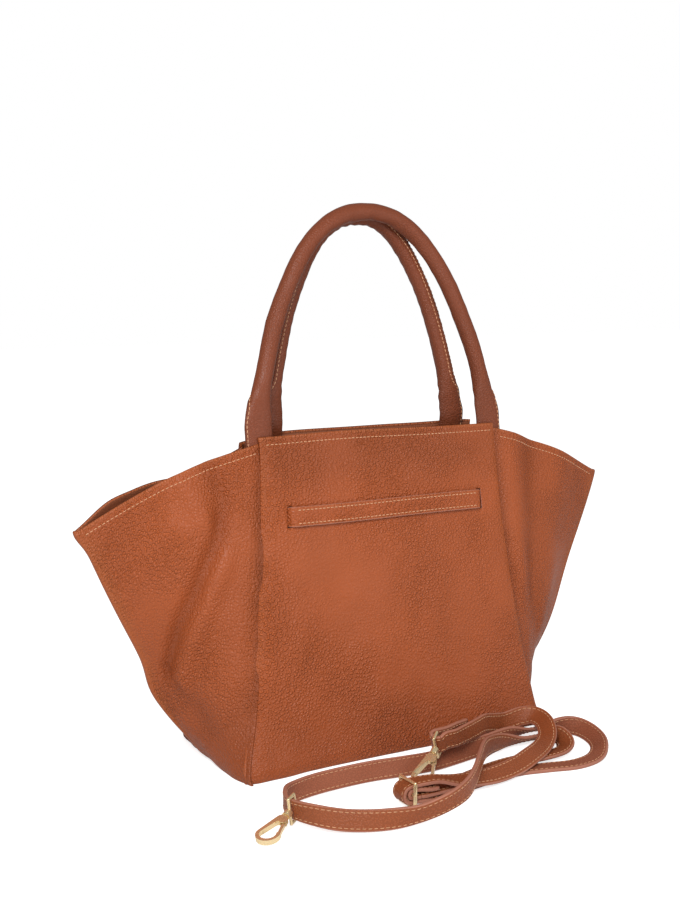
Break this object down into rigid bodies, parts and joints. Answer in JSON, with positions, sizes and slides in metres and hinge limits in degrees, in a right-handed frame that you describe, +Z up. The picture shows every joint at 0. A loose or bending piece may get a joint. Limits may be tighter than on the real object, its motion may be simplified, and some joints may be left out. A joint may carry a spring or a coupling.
{
  "type": "trapeze bag",
  "caption": "Leather trapeze handbag with folding side wings, two rolled handles, a threaded front band and a detachable shoulder strap with snap hooks.",
  "frame": {"origin": "middle of the underside of the base, on the surface the bag stands on", "axes": "+X to the bag's right seen from the front, along the two wing tips; +Y to the back; +Z up"},
  "size_m": [0.536, 0.2944, 0.4783],
  "materials": {
    "leather": "pebbled",
    "dark_leather": "smooth",
    "lining_cloth": "woven",
    "gold_metal": "polished light gold",
    "board": "plain",
    "handle_core": "cord"
  },
  "bodies": {
    "bag": {"front_panel": "leather", "back_panel": "leather", "left_wing": "leather", "right_wing": "leather", "base_panel": "leather", "base_board": "board", "lining": "lining_cloth", "front_facing": "dark_leather", "back_facing": "dark_leather", "snap_socket": "gold_metal", "snap_stud": "gold_metal", "front_band": "leather", "front_left_tab": "leather", "front_right_tab": "leather", "back_left_tab": "leather", "back_right_tab": "leather", "left_ring_loop": "dark_leather", "right_ring_loop": "dark_leather"},
    "front_handle": {"front_handle_cover": "leather", "front_handle_core": "handle_core"},
    "back_handle": {"back_handle_cover": "leather", "back_handle_core": "handle_core"},
    "left_ring": {"left_ring": "gold_metal"},
    "right_ring": {"right_ring": "gold_metal"},
    "strap": {"shoulder_strap": "leather", "slider_frame": "gold_metal", "slider_bar": "gold_metal", "hook1_eye": "gold_metal", "hook2_eye": "gold_metal"},
    "hook1": {"hook1_frame": "gold_metal", "hook1_pin": "gold_metal", "hook1_spring": "gold_metal"},
    "hook1_gate": {"hook1_gate": "gold_metal"},
    "hook2": {"hook2_frame": "gold_metal", "hook2_pin": "gold_metal", "hook2_spring": "gold_metal"},
    "hook2_gate": {"hook2_gate": "gold_metal"}
  },
  "joints": [
    {"name": "front_handle_hinge", "type": "hinge", "parent": "bag", "child": "front_handle", "pos_m": [0, -0.02653, 0.2855], "axis": [1, 0, 0], "range_deg": [0, 100]},
    {"name": "back_handle_hinge", "type": "hinge", "parent": "bag", "child": "back_handle", "pos_m": [0, -0.001, 0.2855], "axis": [-1, 0, 0], "range_deg": [0, 90]},
    {"name": "left_ring_hinge", "type": "hinge", "parent": "bag", "child": "left_ring", "pos_m": [-0.23845, -0.0005, 0.202], "axis": [0.8737, 0, 0.4865], "range_deg": [-9, 9]},
    {"name": "right_ring_hinge", "type": "hinge", "parent": "bag", "child": "right_ring", "pos_m": [0.23899, -0.0005, 0.214], "axis": [0.8849, 0, -0.4658], "range_deg": [-9, 9]},
    {"name": "strap_slide", "type": "slide", "parent": "bag", "child": "strap", "axis": [0, -1, 0], "range_m": [0, 0.25]},
    {"name": "hook1_swivel", "type": "hinge", "parent": "strap", "child": "hook1", "pos_m": [-0.16837, -0.17197, 0.01273], "axis": [-0.8295, -0.5183, -0.2079], "continuous": true},
    {"name": "hook1_gate_hinge", "type": "hinge", "parent": "hook1", "child": "hook1_gate", "pos_m": [-0.17479, -0.18033, 0.01063], "axis": [0.1763, 0.1102, -0.9781], "range_deg": [0, 22], "stiffness_Nm_per_rad": 0.02, "springref_deg": -8.59},
    {"name": "hook2_swivel", "type": "hinge", "parent": "strap", "child": "hook2", "pos_m": [-0.01034, -0.13424, 0.02229], "axis": [-0.7233, -0.5064, -0.4695], "continuous": true},
    {"name": "hook2_gate_hinge", "type": "hinge", "parent": "hook2", "child": "hook2_gate", "pos_m": [-0.01553, -0.14238, 0.01755], "axis": [0.3846, 0.2693, -0.8829], "range_deg": [0, 22], "stiffness_Nm_per_rad": 0.02, "springref_deg": -8.59}
  ]
}
